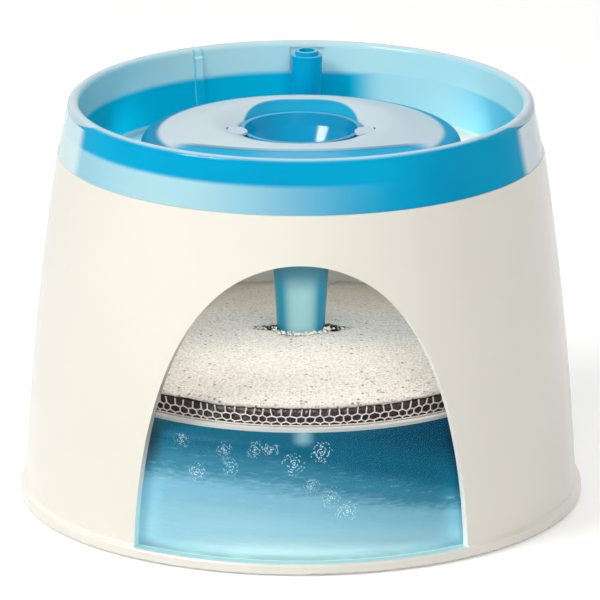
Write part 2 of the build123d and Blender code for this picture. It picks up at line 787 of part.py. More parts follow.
chamber_radius = volute_radius - volute_wall
with BuildPart() as pump_cover:
    with BuildSketch(Plane.YZ.offset(casing_front)):
        with Locations(((pump_left + pump_right) / 2, pump_z)):
            RectangleRounded(pump_width, pump_height, pump_corner)
    extrude(amount=flange_thickness)
    add(tube_x(casing_front, volute_front, volute_radius))
    with BuildSketch(Plane.XZ.offset(-pump_y)):
        with Locations((pipe_x, nozzle_z)):
            Circle(tube_radius)
    extrude(amount=-nozzle_reach)
    add(tube_x(casing_front, volute_front - volute_wall, chamber_radius), mode=Mode.SUBTRACT)
    add(tube_x(volute_front - volute_wall, volute_front, intake_radius), mode=Mode.SUBTRACT)
    with BuildSketch(Plane.XZ.offset(-pump_y)):
        with Locations((pipe_x, nozzle_z)):
            Circle(tube_bore)
    extrude(amount=-nozzle_reach, mode=Mode.SUBTRACT)
    add(tube_x(volute_front - volute_wall, volute_front, bush_radius + well_wall))
    with BuildSketch(Plane.YZ.offset(volute_front - volute_wall)):
        with Locations((pump_y, pump_z)):
            with PolarLocations(0, 3):
                Rectangle(intake_radius + volute_wall / 2, volute_wall, align=(Align.MIN, Align.CENTER))
    extrude(amount=volute_wall)
    add(tube_x(volute_front - volute_wall, volute_front, bush_radius), mode=Mode.SUBTRACT)
    for y, z in (
        (pump_left + small_screw_inset, pump_low + small_screw_inset),
        (pump_left + small_screw_inset, pump_high - small_screw_inset),
        (pump_right - small_screw_inset, pump_low + small_screw_inset),
    ):
        with BuildSketch(Plane.YZ.offset(casing_front)):
            with Locations((y, z)):
                Circle(small_screw_radius + slip_fit)
        extrude(amount=flange_thickness, mode=Mode.SUBTRACT)
save(pump_cover.part, "pump_cover")

with BuildPart() as cover_screws:
    for y, z in (
        (pump_left + small_screw_inset, pump_low + small_screw_inset),
        (pump_left + small_screw_inset, pump_high - small_screw_inset),
        (pump_right - small_screw_inset, pump_low + small_screw_inset),
    ):
        with BuildSketch(Plane.YZ.offset(casing_front + flange_thickness)):
            with Locations((y, z)):
                Circle(small_head_radius)
        extrude(amount=small_head_height)
        with BuildSketch(Plane.YZ.offset(casing_front + flange_thickness)):
            with Locations((y, z)):
                Circle(small_screw_radius)
        extrude(amount=-flange_thickness - pump_front_wall)
        with BuildSketch(Plane.YZ.offset(casing_front + flange_thickness + small_head_height)):
            with Locations((y, z)):
                Rectangle(1.3 * small_head_radius, 0.3 * small_head_radius)
                Rectangle(0.3 * small_head_radius, 1.3 * small_head_radius)
        extrude(amount=-small_head_height / 2, mode=Mode.SUBTRACT)
save(cover_screws.part, "cover_screws")

# ==== pump strainer and flow regulator ====
strainer_front = volute_front + strainer_depth
with BuildPart() as pump_strainer:
    add(tube_x(volute_front, strainer_front, volute_radius))
    add(tube_x(volute_front, strainer_front - strainer_wall, volute_radius - strainer_wall), mode=Mode.SUBTRACT)
    with BuildSketch(Plane.YZ.offset(volute_front + strainer_wall)):
        with Locations((pump_y, pump_z)):
            with PolarLocations(0, strainer_slots):
                Rectangle(2 * volute_radius, strainer_slot_width, align=(Align.MIN, Align.CENTER))
            Circle(volute_radius - 2 * strainer_wall, mode=Mode.SUBTRACT)
    extrude(amount=strainer_depth - 3 * strainer_wall, mode=Mode.SUBTRACT)
    with BuildSketch(Plane.YZ.offset(strainer_front - strainer_wall)):
        with Locations((pump_y, pump_z)):
            with PolarLocations((regulator_radius + regulator_pin_radius) / 2, 3):
                Circle(strainer_slot_width / 2)
            Circle(regulator_pin_radius + slip_fit)
    extrude(amount=strainer_wall, mode=Mode.SUBTRACT)
save(pump_strainer.part, "pump_strainer")

with BuildPart() as flow_regulator:
    add(tube_x(strainer_front + seat_gap, strainer_front + regulator_thickness, regulator_radius))
    add(tube_x(strainer_front - 2 * strainer_wall, strainer_front + seat_gap, regulator_pin_radius))
    with BuildSketch(Plane.YZ.offset(strainer_front + seat_gap)):
        with Locations((pump_y, pump_z)):
            with PolarLocations((regulator_radius + regulator_pin_radius) / 2, 3):
                Circle(strainer_slot_width / 2)
    extrude(amount=regulator_thickness, mode=Mode.SUBTRACT)
    with BuildSketch(Plane.YZ.offset(strainer_front + regulator_thickness)):
        with Locations((pump_y, pump_z)):
            Rectangle(1.6 * regulator_radius, 1.2 * regulator_pin_radius)
    extrude(amount=regulator_thickness)
save(flow_regulator.part, "flow_regulator")

# ==== rotor: magnet, impeller; fixed shaft and bushes ====
magnet_back = well_end + bush_length + running_gap
magnet_front = magnet_back + magnet_length
impeller_back = casing_front + running_gap
shaft_back = well_end + slip_fit
with BuildPart() as rotor_magnet:
    add(tube_x(magnet_back, magnet_front, magnet_radius, shaft_radius + slip_fit))
save(rotor_magnet.part, "rotor_magnet")

with BuildPart() as impeller:
    add(tube_x(magnet_front, volute_front - volute_wall - running_gap, impeller_hub_radius))
    add(tube_x(impeller_back, impeller_back + impeller_disc, impeller_radius))
    with BuildSketch(Plane.YZ.offset(impeller_back)):
        with Locations((pump_y, pump_z)):
            with PolarLocations(0, blade_count):
                Rectangle(impeller_radius, blade_thickness, align=(Align.MIN, Align.CENTER))
    extrude(amount=volute_depth - volute_wall - 2 * running_gap)
    add(tube_x(magnet_front, volute_front, shaft_radius + slip_fit), mode=Mode.SUBTRACT)
save(impeller.part, "impeller")

with BuildPart() as impeller_shaft:
    add(tube_x(shaft_back, volute_front - slip_fit, shaft_radius))
save(impeller_shaft.part, "impeller_shaft")

with BuildPart() as rear_bush:
    add(tube_x(well_end, well_end + bush_length, bush_radius, shaft_radius))
save(rear_bush.part, "rear_bush")

with BuildPart() as front_bush:
    add(tube_x(volute_front - volute_wall, volute_front, bush_radius, shaft_radius))
save(front_bush.part, "front_bush")

# ==== stator: laminated core with two legs round the rotor well, and its coil ====
core_back = (casing_back + casing_front - pump_front_wall - core_stack) / 2
leg_low = well_bore + well_wall + core_gap
core_half_height = pump_height / 2 - pump_wall - core_margin
yoke_y = pump_left + pump_wall + coil_build + seat_gap
with BuildPart() as stator_core:
    with BuildSketch(Plane.YZ.offset(core_back)):
        with Locations((yoke_y, pump_z)):
            Rectangle(
                pump_y + well_bore - yoke_y,
                2 * core_half_height,
                align=(Align.MIN, Align.CENTER),
            )
            with Locations((core_yoke, 0)):
                Rectangle(pump_width, 2 * leg_low, align=(Align.MIN, Align.CENTER), mode=Mode.SUBTRACT)
    extrude(amount=core_stack)
save(stator_core.part, "stator_core")

coil_half_height = leg_low - coil_build / 2
with BuildPart() as stator_coil:
    with BuildSketch(Plane.XY.offset(pump_z - coil_half_height)):
        with Locations((core_back + core_stack / 2, yoke_y + core_yoke / 2)):
            RectangleRounded(core_stack + 2 * coil_build, core_yoke + 2 * coil_build, coil_build)
            Rectangle(core_stack + 2 * slip_fit, core_yoke + 2 * slip_fit, mode=Mode.SUBTRACT)
    extrude(amount=2 * coil_half_height)
save(stator_coil.part, "stator_coil")

# ==== suction cups under the pump ====
cup_low = floor_z + seat_gap
with BuildPart() as suction_cup:
    with BuildSketch(Plane.XZ):
        with BuildLine():
            Polyline(
                (0, cup_low + cup_hollow),
                (cup_radius - cup_lip, cup_low),
                (cup_radius, cup_low),
                (cup_radius, cup_low + cup_edge),
                (cup_neck_radius, pump_low - cup_neck_height),
                (cup_neck_radius, pump_low),
                (0, pump_low),
                close=True,
            )
        make_face()
    revolve(axis=Axis.Z)

with BuildPart() as suction_cups:
    cup_xs = (casing_back + cup_inset, casing_front - cup_inset)
    cup_ys = (pump_left + cup_inset, pump_right - cup_inset)
    with Locations(*[(x, y, 0) for x in cup_xs for y in cup_ys]):
        add(suction_cup.part)
save(suction_cups.part, "suction_cups")

# ==== riser: elbow on the pump's nozzle, tube, and the sleeve that takes the dish's spigot ====
nozzle_end_y = pump_y + nozzle_reach
with BuildPart() as riser_elbow:
    with BuildLine():
        run_in = Line((pipe_x, nozzle_end_y - sleeve_grip, nozzle_z), (pipe_x, pipe_y - elbow_radius, nozzle_z))
        bend = ThreePointArc(
            run_in @ 1,
            (
                pipe_x,
                pipe_y - elbow_radius + elbow_radius / sqrt(2),
                nozzle_z + elbow_radius - elbow_radius / sqrt(2),
            ),
            (pipe_x, pipe_y, nozzle_z + elbow_radius),
        )
        Line(bend @ 1, (pipe_x, pipe_y, nozzle_z + elbow_radius + sleeve_grip))
    with BuildSketch(Plane(origin=run_in @ 0, z_dir=(0, 1, 0))):
        Circle(sleeve_radius)
        Circle(sleeve_bore, mode=Mode.SUBTRACT)
    sweep()
save(riser_elbow.part, "riser_elbow")

tube_low = nozzle_z + elbow_radius + slip_fit
tube_high = spigot_z - seat_gap
with BuildPart() as riser_tube:
    with BuildSketch(Plane.XY.offset(tube_low)):
        with Locations((pipe_x, pipe_y)):
            Circle(tube_radius)
            Circle(tube_bore, mode=Mode.SUBTRACT)
    extrude(amount=tube_high - tube_low)
save(riser_tube.part, "riser_tube")

with BuildPart() as riser_sleeve:
    with BuildSketch(Plane.XY.offset(tube_high - sleeve_grip)):
        with Locations((pipe_x, pipe_y)):
            Circle(sleeve_radius)
            Circle(sleeve_bore, mode=Mode.SUBTRACT)
    extrude(amount=sleeve_grip + spigot_length - 2 * loose_fit)
save(riser_sleeve.part, "riser_sleeve")
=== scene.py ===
import math
import random
import bmesh
import bpy
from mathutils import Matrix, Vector, noise


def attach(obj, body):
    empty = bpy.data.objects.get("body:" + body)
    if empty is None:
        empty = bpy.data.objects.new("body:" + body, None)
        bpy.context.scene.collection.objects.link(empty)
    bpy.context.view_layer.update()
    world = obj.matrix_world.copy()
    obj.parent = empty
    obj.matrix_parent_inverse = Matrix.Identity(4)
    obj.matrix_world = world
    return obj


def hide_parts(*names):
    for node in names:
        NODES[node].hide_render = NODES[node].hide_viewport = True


# Sizes and places are in mm, also inside the shaders. Only the studio's are in metres.
# The scales of noise and cells are counts per metre.

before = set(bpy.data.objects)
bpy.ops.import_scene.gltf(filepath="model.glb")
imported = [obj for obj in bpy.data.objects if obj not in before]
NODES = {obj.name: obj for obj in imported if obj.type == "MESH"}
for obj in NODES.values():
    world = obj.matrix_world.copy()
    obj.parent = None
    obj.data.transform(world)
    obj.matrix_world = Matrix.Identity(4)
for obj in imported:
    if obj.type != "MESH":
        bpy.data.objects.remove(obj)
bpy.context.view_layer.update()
MM = 0.001
rng = random.Random(7)

# ---------------------------------------------------------------- sizes shared with the solids
WALL_FOOT_R, WALL_FOOT_Z = 117.6, 7.0
WALL_MID_R = 112.15
WALL_TOP_R, WALL_TOP_Z = 103.1, 150.5
LEDGE_Z = 4.0  # top of the ledge behind the arch's sill, on which the window stands
PANE_BACK = 6.1  # from the wall's outside to the back of the window pane
PIPE = (2.5, 82.0)  # the riser's place, seen from above
SLOT_HALF = 11.85  # half the width of the filter's slot for the riser and the cord
TRAY_Z = 57.0  # underside of the filter's tray, which stands on the shelf
CARBON_Z, CARBON_TOP = 58.0, 63.8
CARBON_R = 93.4
FOAM_TOP = 71.9
HOLE_R = 10.6
SLIT_HALF = 4.4
RIB_ANGLE = math.radians(118.3)
RIB_HALF = 2.2
RECESS_HALF = 7.5

# ---------------------------------------------------------------- sizes of what is only seen
WATER_LOW, WATER_TOP = 2.5, 55.2  # just over the tank's floor and just under the shelf
WATER_R = 105.6  # below the ledge
TUFT_REACH = 20.5  # half the length of the oval on which the slit's tufts stand
ARCH_SIDE_X, ARCH_LEAN = 68.8, 0.137  # the arch's side is at this x and leans in by this share of z
PACK_EDGE_R = 94.6  # up to here a painted shade lies on the shelf under the filter pack
DISH_SPLIT_Z = 162.0  # painted light makes the dish pale below about this height outside, and above it inside
RIM_ROLL_Z = 169.8  # just under the dish's rolled rim
BAND_LEAN, BAND_Z = 0.2886, 84.04  # the dome's painted reflection band at its front is measured along this lean, from this height
SHADE_LOW_Z, SHADE_TOP_Z = 88.0, 130.0  # the stretch of the funnel's stem that lies in shade


def wall_r(z):
    """Outer radius of the housing's wall at height z, on its three-point arc."""
    t = (z - WALL_FOOT_Z) / (WALL_TOP_Z - WALL_FOOT_Z)
    straight = WALL_FOOT_R + (WALL_TOP_R - WALL_FOOT_R) * t
    bulge = WALL_MID_R - (WALL_FOOT_R + WALL_TOP_R) / 2
    return straight + bulge * 4 * t * (1 - t)


# ---------------------------------------------------------------- shader helpers
def lin(r, g, b):
    """An sRGB colour, 0 to 255, as the linear colour that shaders take."""
    out = []
    for v in (r, g, b):
        v = v / 255
        out.append(v / 12.92 if v <= 0.04045 else ((v + 0.055) / 1.055) ** 2.4)
    return (*out, 1.0)


class Value:
    """A number that a shader works out at each point. It takes the usual signs of arithmetic."""

    def __init__(self, tree, socket):
        self.tree, self.socket = tree, socket

    def __add__(self, other):
        return self.tree.math("ADD", self, other)

    def __sub__(self, other):
        return self.tree.math("SUBTRACT", self, other)

    def __rsub__(self, other):
        return self.tree.math("SUBTRACT", other, self)

    def __mul__(self, other):
        return self.tree.math("MULTIPLY", self, other)

    def __truediv__(self, other):
        return self.tree.math("DIVIDE", self, other)

    def __pow__(self, other):
        return self.tree.math("POWER", self, other)

    def __abs__(self):
        return self.tree.math("ABSOLUTE", self)


class Tree:
    """Adds and links the nodes of a material or of the world."""

    def __init__(self, node_tree):
        self.nodes, self.links = node_tree.nodes, node_tree.links
        self.nodes.clear()

    def fill(self, target, value):
        """Gives a socket a plain value, or links it to one that is worked out."""
        if isinstance(value, Value):
            value = value.socket
        if isinstance(value, bpy.types.NodeSocket):
            self.links.new(value, target)
        else:
            target.default_value = value

    def node(self, kind, inputs=None, **attrs):
        new = self.nodes.new(kind)
        for key, value in attrs.items():
            setattr(new, key, value)
        for key, value in (inputs or {}).items():
            self.fill(new.inputs[key], value)
        return new

    def math(self, operation, a, b=0.0, clamp=False):
        node = self.node("ShaderNodeMath", {0: a, 1: b}, operation=operation, use_clamp=clamp)
        return Value(self, node.outputs[0])

    def larger(self, a, b):
        return self.math("MAXIMUM", a, b)

    def hypot(self, a, b):
        return self.math("SQRT", a * a + b * b)

    def step(self, value, low, high):
        """0 at low, 1 at high, smooth between them and flat beyond. Low may be the larger of the two."""
        inputs = {"Value": value, "From Min": low, "From Max": high}
        node = self.node("ShaderNodeMapRange", inputs, interpolation_type="SMOOTHSTEP")
        return Value(self, node.outputs["Result"])

    def mix(self, share, under, over):
        """The first colour where share is 0, the second where it is 1."""
        return self.node("ShaderNodeMix", {0: share, 6: under, 7: over}, data_type="RGBA").outputs[2]

    def is_seen(self):
        """1 for camera, mirror and see-through rays."""
        path = self.node("ShaderNodeLightPath").outputs
        seen = self.larger(path["Is Camera Ray"], path["Is Glossy Ray"])
        return self.larger(seen, path["Is Transmission Ray"])


class Mat(Tree):
    """A material with one Principled shader, whose colour is painted in layers."""

    def __init__(self, name, **sockets):
        self.material = bpy.data.materials.new(name)
        self.material.use_nodes = True
        super().__init__(self.material.node_tree)
        self.shader = self.node("ShaderNodeBsdfPrincipled")
        self.node("ShaderNodeOutputMaterial", {"Surface": self.shader.outputs[0]})
        coords = self.node("ShaderNodeTexCoord")
        self.point = coords.outputs["Object"]
        self.facing = coords.outputs["Normal"]
        self.tone = None
        for key, value in sockets.items():
            self.put(key.replace("_", " "), value)

    def put(self, socket, value):
        self.fill(self.shader.inputs[socket], value)

    def ground(self, colour):
        """Sets the colour that later layers lie on."""
        self.tone = colour
        self.put("Base Color", colour)

    def paint(self, share, colour):
        """Lays a colour over the ones so far: share is 0 to leave them and 1 to cover them."""
        self.ground(self.mix(share, self.tone, colour))

    def wander(self, scale, first, second, detail=3.0, spread=0.2):
        """A ground that wanders softly between two close colours."""
        cloud = self.step(self.noise(scale, detail), 0.5 - spread, 0.5 + spread)
        self.ground(self.mix(cloud, first, second))

    def split(self, vector):
        return [Value(self, part) for part in self.node("ShaderNodeSeparateXYZ", {0: vector}).outputs]

    def place(self):
        """The point's x, y and z in mm."""
        return [part * (1 / MM) for part in self.split(self.point)]

    def radius(self):
        """The point's distance from the main axis in mm."""
        x, y, _ = self.place()
        return self.hypot(x, y)

    def up(self, low, high):
        """1 where the surface faces up, judged by the upright part of its normal."""
        return self.step(self.split(self.facing)[2], low, high)

    def glancing(self, low, high):
        """1 where the surface turns away from the viewer, where a painted sheen whitens the outline."""
        weight = self.node("ShaderNodeLayerWeight", {"Blend": 0.5})
        return self.step(Value(self, weight.outputs["Facing"]), low, high)

    def stretch(self, x, y, z):
        return self.node("ShaderNodeMapping", {"Vector": self.point, "Scale": (x, y, z)}).outputs[0]

    def noise(self, scale, detail=3.0, vector=None, rough=0.5):
        inputs = {"Vector": vector or self.point, "Scale": scale, "Detail": detail, "Roughness": rough}
        return Value(self, self.node("ShaderNodeTexNoise", inputs).outputs["Fac"])

    def voronoi(self, scale):
        return self.node("ShaderNodeTexVoronoi", {"Vector": self.point, "Scale": scale}).outputs

    def cells(self, scale):
        """The distance from the middle of the nearest cell."""
        return Value(self, self.voronoi(scale)["Distance"])

    def lots(self, scale):
        """A random number from 0 to 1 for each cell."""
        colour = self.node("ShaderNodeSeparateColor", {0: self.voronoi(scale)["Color"]})
        return Value(self, colour.outputs[0])

    def ramp(self, share, stops):
        node = self.node("ShaderNodeValToRGB", {"Fac": share})
        ramp = node.color_ramp
        ramp.interpolation = "EASE"
        while len(ramp.elements) < len(stops):
            ramp.elements.new(0.5)
        for element, (at, colour) in zip(ramp.elements, stops):
            element.position = at
            element.color = colour
        return node.outputs["Color"]

    def bump(self, height, depth, strength):
        inputs = {"Height": height, "Distance": depth * MM, "Strength": strength}
        self.put("Normal", self.node("ShaderNodeBump", inputs).outputs[0])


# ---------------------------------------------------------------- white plastic
# painted reflection of the water's colour
WATER_REFLECTION = lin(176, 225, 228)


def white_shell():
    """Glossy white. Painted light whitens the arch's right cut face and painted shade greys the left one; a
    painted reflection of the water lies on the sill and the left cut's foot.
    """
    m = Mat("white_gloss_plastic", Roughness=0.3, Coat_Weight=0.35, Coat_Roughness=0.12, IOR=1.48)
    m.wander(9.0, lin(240, 236, 225), lin(236, 232, 221))
    grain = m.noise(1400.0, 2.0)
    m.paint(grain * 0.03, lin(205, 200, 190))
    x, y, z = m.place()
    nx, ny, nz = m.split(m.facing)
    # Painted reflection: the sill's upward face in front of the window takes the water's colour.
    sill = m.step(z, 5.6, 5.1) * m.step(m.radius(), 119.2, 117.2)
    sill = sill * m.step(abs(x), 70.5, 68.5) * m.step(y, 0.0, -20.0)
    m.paint(sill * m.step(nz, 0.8, 0.95), WATER_REFLECTION)
    cut = m.step(ny, 0.4, 0.2) * m.step(y, -80.0, -90.0)
    left_cut = cut * m.step(nx, 0.4, 0.6) * m.step(x, 0.0, -20.0)
    right_cut = cut * m.step(nx, -0.4, -0.6) * m.step(x, 0.0, 20.0)
    # Painted light: the right cut face, turned to the key, is whiter.
    m.paint(right_cut, lin(255, 254, 248))
    # Painted shade on the left cut face's upper part, and a painted reflection of the water at its foot.
    m.paint(left_cut * m.step(z, 35.0, 60.0) * 0.7, lin(150, 144, 138))
    m.paint(left_cut * m.step(z, 45.0, 15.0) * 0.9, lin(206, 246, 252))
    m.put("Roughness", m.noise(60.0) * 0.08 + 0.26)
    m.bump(grain, 0.03, 0.35)
    return m


def white_shelf():
    """The shelf's white plastic, with a painted shade where the filter pack stands on it."""
    m = Mat("white_shelf_plastic", Roughness=0.32, IOR=1.48)
    m.wander(30.0, lin(252, 249, 240), lin(246, 243, 234))
    ragged_r = m.radius() + (m.noise(160.0) - 0.5) * 1.6
    z = m.place()[2]
    # Painted shade: a grey ring on the shelf along the net's foot.
    ring_shade = m.step(ragged_r, PACK_EDGE_R, PACK_EDGE_R - 0.7) * m.step(z, TRAY_Z - 0.4, TRAY_Z - 0.1)
    m.paint(ring_shade * 0.75, lin(112, 100, 94))
    m.bump(m.noise(1200.0, 2.0), 0.03, 0.4)
    return m


# ---------------------------------------------------------------- blue plastic
DEEP = lin(0, 176, 222)
DARK = lin(0, 154, 202)
PALE = lin(176, 220, 230)
TOP = lin(204, 220, 227)  # painted reflection of the bright studio, mostly on faces that look up


def blue_plastic(name, gloss=0.05, rough=0.11):
    m = Mat(name, Roughness=rough, Specular_IOR_Level=gloss, IOR=1.5)
    m.wander(14.0, DEEP, DARK, detail=2.0)
    return m


def dish_pale_zones(m, x, y, z, outside, inside):
    """Where back-light is painted: the skirt's lower left, the upper part of the inner wall, and that wall's
    right side.
    """
    skirt = outside * m.step(z, DISH_SPLIT_Z + 1.2, DISH_SPLIT_Z - 1.0) * m.step(x, 45.0, -60.0)
    skirt = skirt * (m.step(x, -100.0, -60.0) * 0.25 + 0.72)
    above = m.step(z, DISH_SPLIT_Z - 3.5, DISH_SPLIT_Z - 0.6) * (m.step(x, -85.0, -40.0) * 0.3 + 0.64)
    above = above * (1.0 - m.step(x, 20.0, 60.0) * 0.14)
    right = m.step(x, 20.0, 36.0) * m.step(y, -10.0, 50.0) * (m.step(x, 88.0, 60.0) * 0.5 + 0.25)
    return m.larger(skirt, m.larger(above, right) * inside), above


def blue_dish():
    """Deep blue where two walls lie behind each other. Painted back-light makes it paler over one wall or
    over white plastic; painted sheen whitens its outline and painted reflection its upward faces.
    """
    m = blue_plastic("blue_dish_plastic")
    x, y, z = m.place()
    nx, ny, _ = m.split(m.facing)
    outward = x * nx + y * ny
    outside = m.step(outward, -1.0, 1.0)
    inside = m.step(outward, 1.0, -1.0) * m.step(m.radius(), 85.0, 88.0)
    rear = m.step(y, 60.0, 70.0)
    pale, above = dish_pale_zones(m, x, y, z, outside, inside)
    off_rib = abs(x * math.sin(RIB_ANGLE) - y * math.cos(RIB_ANGLE))
    rib_side = m.step(off_rib, RIB_HALF - 0.9, RIB_HALF - 0.4)
    rib_side = rib_side * m.step(off_rib, RIB_HALF + 0.6, RIB_HALF + 0.1) * rear * inside
    recess = m.step(abs(x - PIPE[0]), RECESS_HALF + 0.3, RECESS_HALF - 0.3)
    # Painted light: the inside is a brighter blue, to make up for its shade.
    m.paint(inside, lin(0, 186, 224))
    # Painted back-light in the pale zones, dimmed into painted shade along the rib's sides.
    m.paint(pale * (1.0 - rib_side * 0.45), m.mix(inside, PALE, lin(194, 236, 241)))
    # Painted back-light, paler still over the pipe's recess.
    m.paint(recess * rear * above * inside * 0.7, lin(205, 228, 232))
    # Painted sheen at the skirt's outline, whiter to the right.
    turned = outside * m.glancing(0.57, 0.64) * m.step(z, RIM_ROLL_Z + 0.2, RIM_ROLL_Z - 0.2)
    m.paint(turned * 0.85, m.mix(m.step(x, 0.0, 80.0), lin(220, 242, 244), lin(246, 255, 255)))
    # Painted sheen at the ends of the rolled rim.
    rim_end = outside * m.step(z + abs(x) * 0.34, 201.7, 202.1) * m.step(z, RIM_ROLL_Z - 0.4, RIM_ROLL_Z)
    m.paint(rim_end * 0.85, TOP)
    # Painted reflection on faces that look up.
    top = m.up(0.55, 0.97)
    m.paint(top * 0.85, TOP)
    # Painted reflection on the channel floor, with painted shade on its left.
    floor = top * m.step(z, 150.0, 147.0)
    m.paint(floor * 0.85, m.mix(m.step(x, -30.0, 30.0), lin(128, 188, 204), lin(220, 224, 214)))
    return m


def blue_dome():
    """Painted reflection makes its crown pale, lighter to the left, with a deep blue band and a dark line
    along its front. Deep blue at its side wall and down the rear of its mouth, with painted shade deeper to
    the left.
    """
    m = blue_plastic("blue_dome_plastic", 0.04, 0.4)
    x, y, z = m.place()
    # Painted shade, deeper towards the left.
    m.paint(m.step(x, 20.0, -60.0) * 0.4 + 0.15, lin(0, 116, 156))
    mouth = (abs(x) / 24.2) ** 2.7 + (abs(y - 4.0) / 31.5) ** 2.7
    crown = m.up(0.3, 0.8) * m.step(m.radius(), 62.0, 59.0)
    crown = crown * m.larger(m.step(mouth, 0.96, 1.08), m.step(y, 6.0, 0.0))
    rise = y * math.sin(BAND_LEAN) + (z - BAND_Z) * math.cos(BAND_LEAN)
    below = x * x * 0.0013 + 62.4 - rise
    front = m.step(abs(x), 60.0, 50.0) * m.step(y, -20.0, -30.0)
    side = m.step(abs(x), 8.0, 34.0)
    streaks = m.noise(60.0, 4.0, m.stretch(0.4, 10.0, 0.4))
    band = m.step(below, -0.2, 0.6) * front * m.math("ADD", side * 0.2 + streaks * 0.2, 0.76, clamp=True)
    line = m.step(abs(below), 1.0, 0.4) * front * (side * 0.3 + 0.35)
    # Painted reflection over the crown: lighter to the left, with a deep blue band, streaks and a dark line
    # along its front.
    tone = m.mix(m.step(x, 60.0, -60.0) * 0.35, TOP, lin(222, 230, 234))
    tone = m.mix(band, tone, lin(20, 172, 218))
    tone = m.mix(line, tone, lin(20, 120, 156))
    m.paint(crown * 0.93, tone)
    return m


def blue_funnel():
    """Deep blue with painted shade to the right and a painted reflection on its ears. Painted light makes
    the stem pale at the foot of its front, and painted shade darkens it above that.
    """
    m = blue_plastic("blue_funnel_plastic", 0.12)
    x, _, z = m.place()
    # Painted shade towards the right.
    m.paint(m.step(x, -30.0, 30.0) * 0.4, lin(0, 96, 140))
    m.paint(m.step(z, SHADE_TOP_Z + 10.0, SHADE_TOP_Z - 20.0), lin(40, 158, 196))
    front = m.step(m.split(m.facing)[1], -0.66, -1.0)
    # Painted light down the stem's front, at its foot.
    m.paint(front * m.step(z, SHADE_LOW_Z + 20.0, SHADE_LOW_Z + 2.0) * 0.9, lin(176, 224, 230))
    shade = m.step(z, SHADE_LOW_Z, SHADE_LOW_Z + 14.0) * m.step(z, SHADE_TOP_Z, SHADE_TOP_Z - 24.0)
    # Painted shade on the stem above that.
    m.paint(shade, lin(66, 122, 142))
    ears = m.step(z, 160.4, 160.6) * m.step(m.radius(), 24.0, 24.7)
    # Painted reflection on the ears' tops.
    m.paint(ears * 0.8, TOP)
    return m


def blue_pipe():
    m = blue_plastic("blue_standpipe_plastic")
    # Painted reflection on faces that look up.
    m.paint(m.up(0.6, 0.95) * 0.35, PALE)
    return m


# ---------------------------------------------------------------- window, metals and plain plastics
def clear_pane():
    m = Mat("clear_window_plastic", Roughness=0.04, Alpha=0.006, IOR=1.45)
    m.wander(12.0, lin(232, 244, 247), lin(222, 240, 245))
    m.bump(m.noise(25.0, 1.0), 0.2, 0.15)
    return m


def window_gasket():
    """Greyish silicone, with a painted reflection of the water's colour along the sill."""
    m = Mat("window_silicone", Roughness=0.35)
    m.wander(60.0, lin(206, 212, 212), lin(220, 224, 224))
    # Painted reflection of the water along the sill.
    m.paint(m.step(m.place()[2], LEDGE_Z + 7.0, LEDGE_Z + 3.0), lin(214, 250, 250))
    m.bump(m.noise(900.0, 2.0), 0.03, 0.4)
    return m


def steel_screw():
    m = Mat("zinc_plated_steel", Metallic=1.0, Roughness=0.3)
    m.wander(500.0, lin(150, 152, 158), lin(190, 192, 196), spread=0.15)
    m.bump(m.noise(900.0, 2.0, m.stretch(1, 1, 0.2)), 0.04, 0.5)
    return m


def stator_steel():
    """Stacked sheets, one every mm."""
    m = Mat("stator_laminations", Metallic=0.8, Roughness=0.5)
    sheets = m.math("PINGPONG", m.place()[0], 0.5)
    m.ground(m.mix(m.step(sheets, 0.1, 0.3), lin(58, 60, 66), lin(122, 124, 130)))
    return m


def coil_copper():
    """Enamelled wire, 0.4 mm thick, lying in turns."""
    m = Mat("enamelled_copper", Metallic=0.9, Roughness=0.35)
    turns = m.math("PINGPONG", m.place()[2] * 2.5, 0.5)
    m.ground(m.mix(m.step(turns, 0.05, 0.35), lin(96, 44, 22), lin(196, 108, 62)))
    m.bump(turns, 0.2, 0.8)
    return m


def plain(name, dark, light, scale, rough, grain, depth):
    """A plain plastic, rubber or ceramic: two close tones, uneven roughness and a fine grain."""
    m = Mat(name, Roughness=rough)
    m.wander(scale, lin(*dark), lin(*light), spread=0.15)
    m.put("Roughness", m.noise(scale * 3) * 0.14 + (rough - 0.07))
    m.bump(m.noise(grain, 2.0), depth, 0.5)
    return m


# ---------------------------------------------------------------- filter
def flecks(m, scale, share, size):
    """Round specks: share is the wanted fraction of cells that hold one."""
    chosen = m.step(m.lots(scale) - share, 0.01, -0.01)
    return chosen * m.step(m.cells(scale), size * 1.3, size * 0.7)


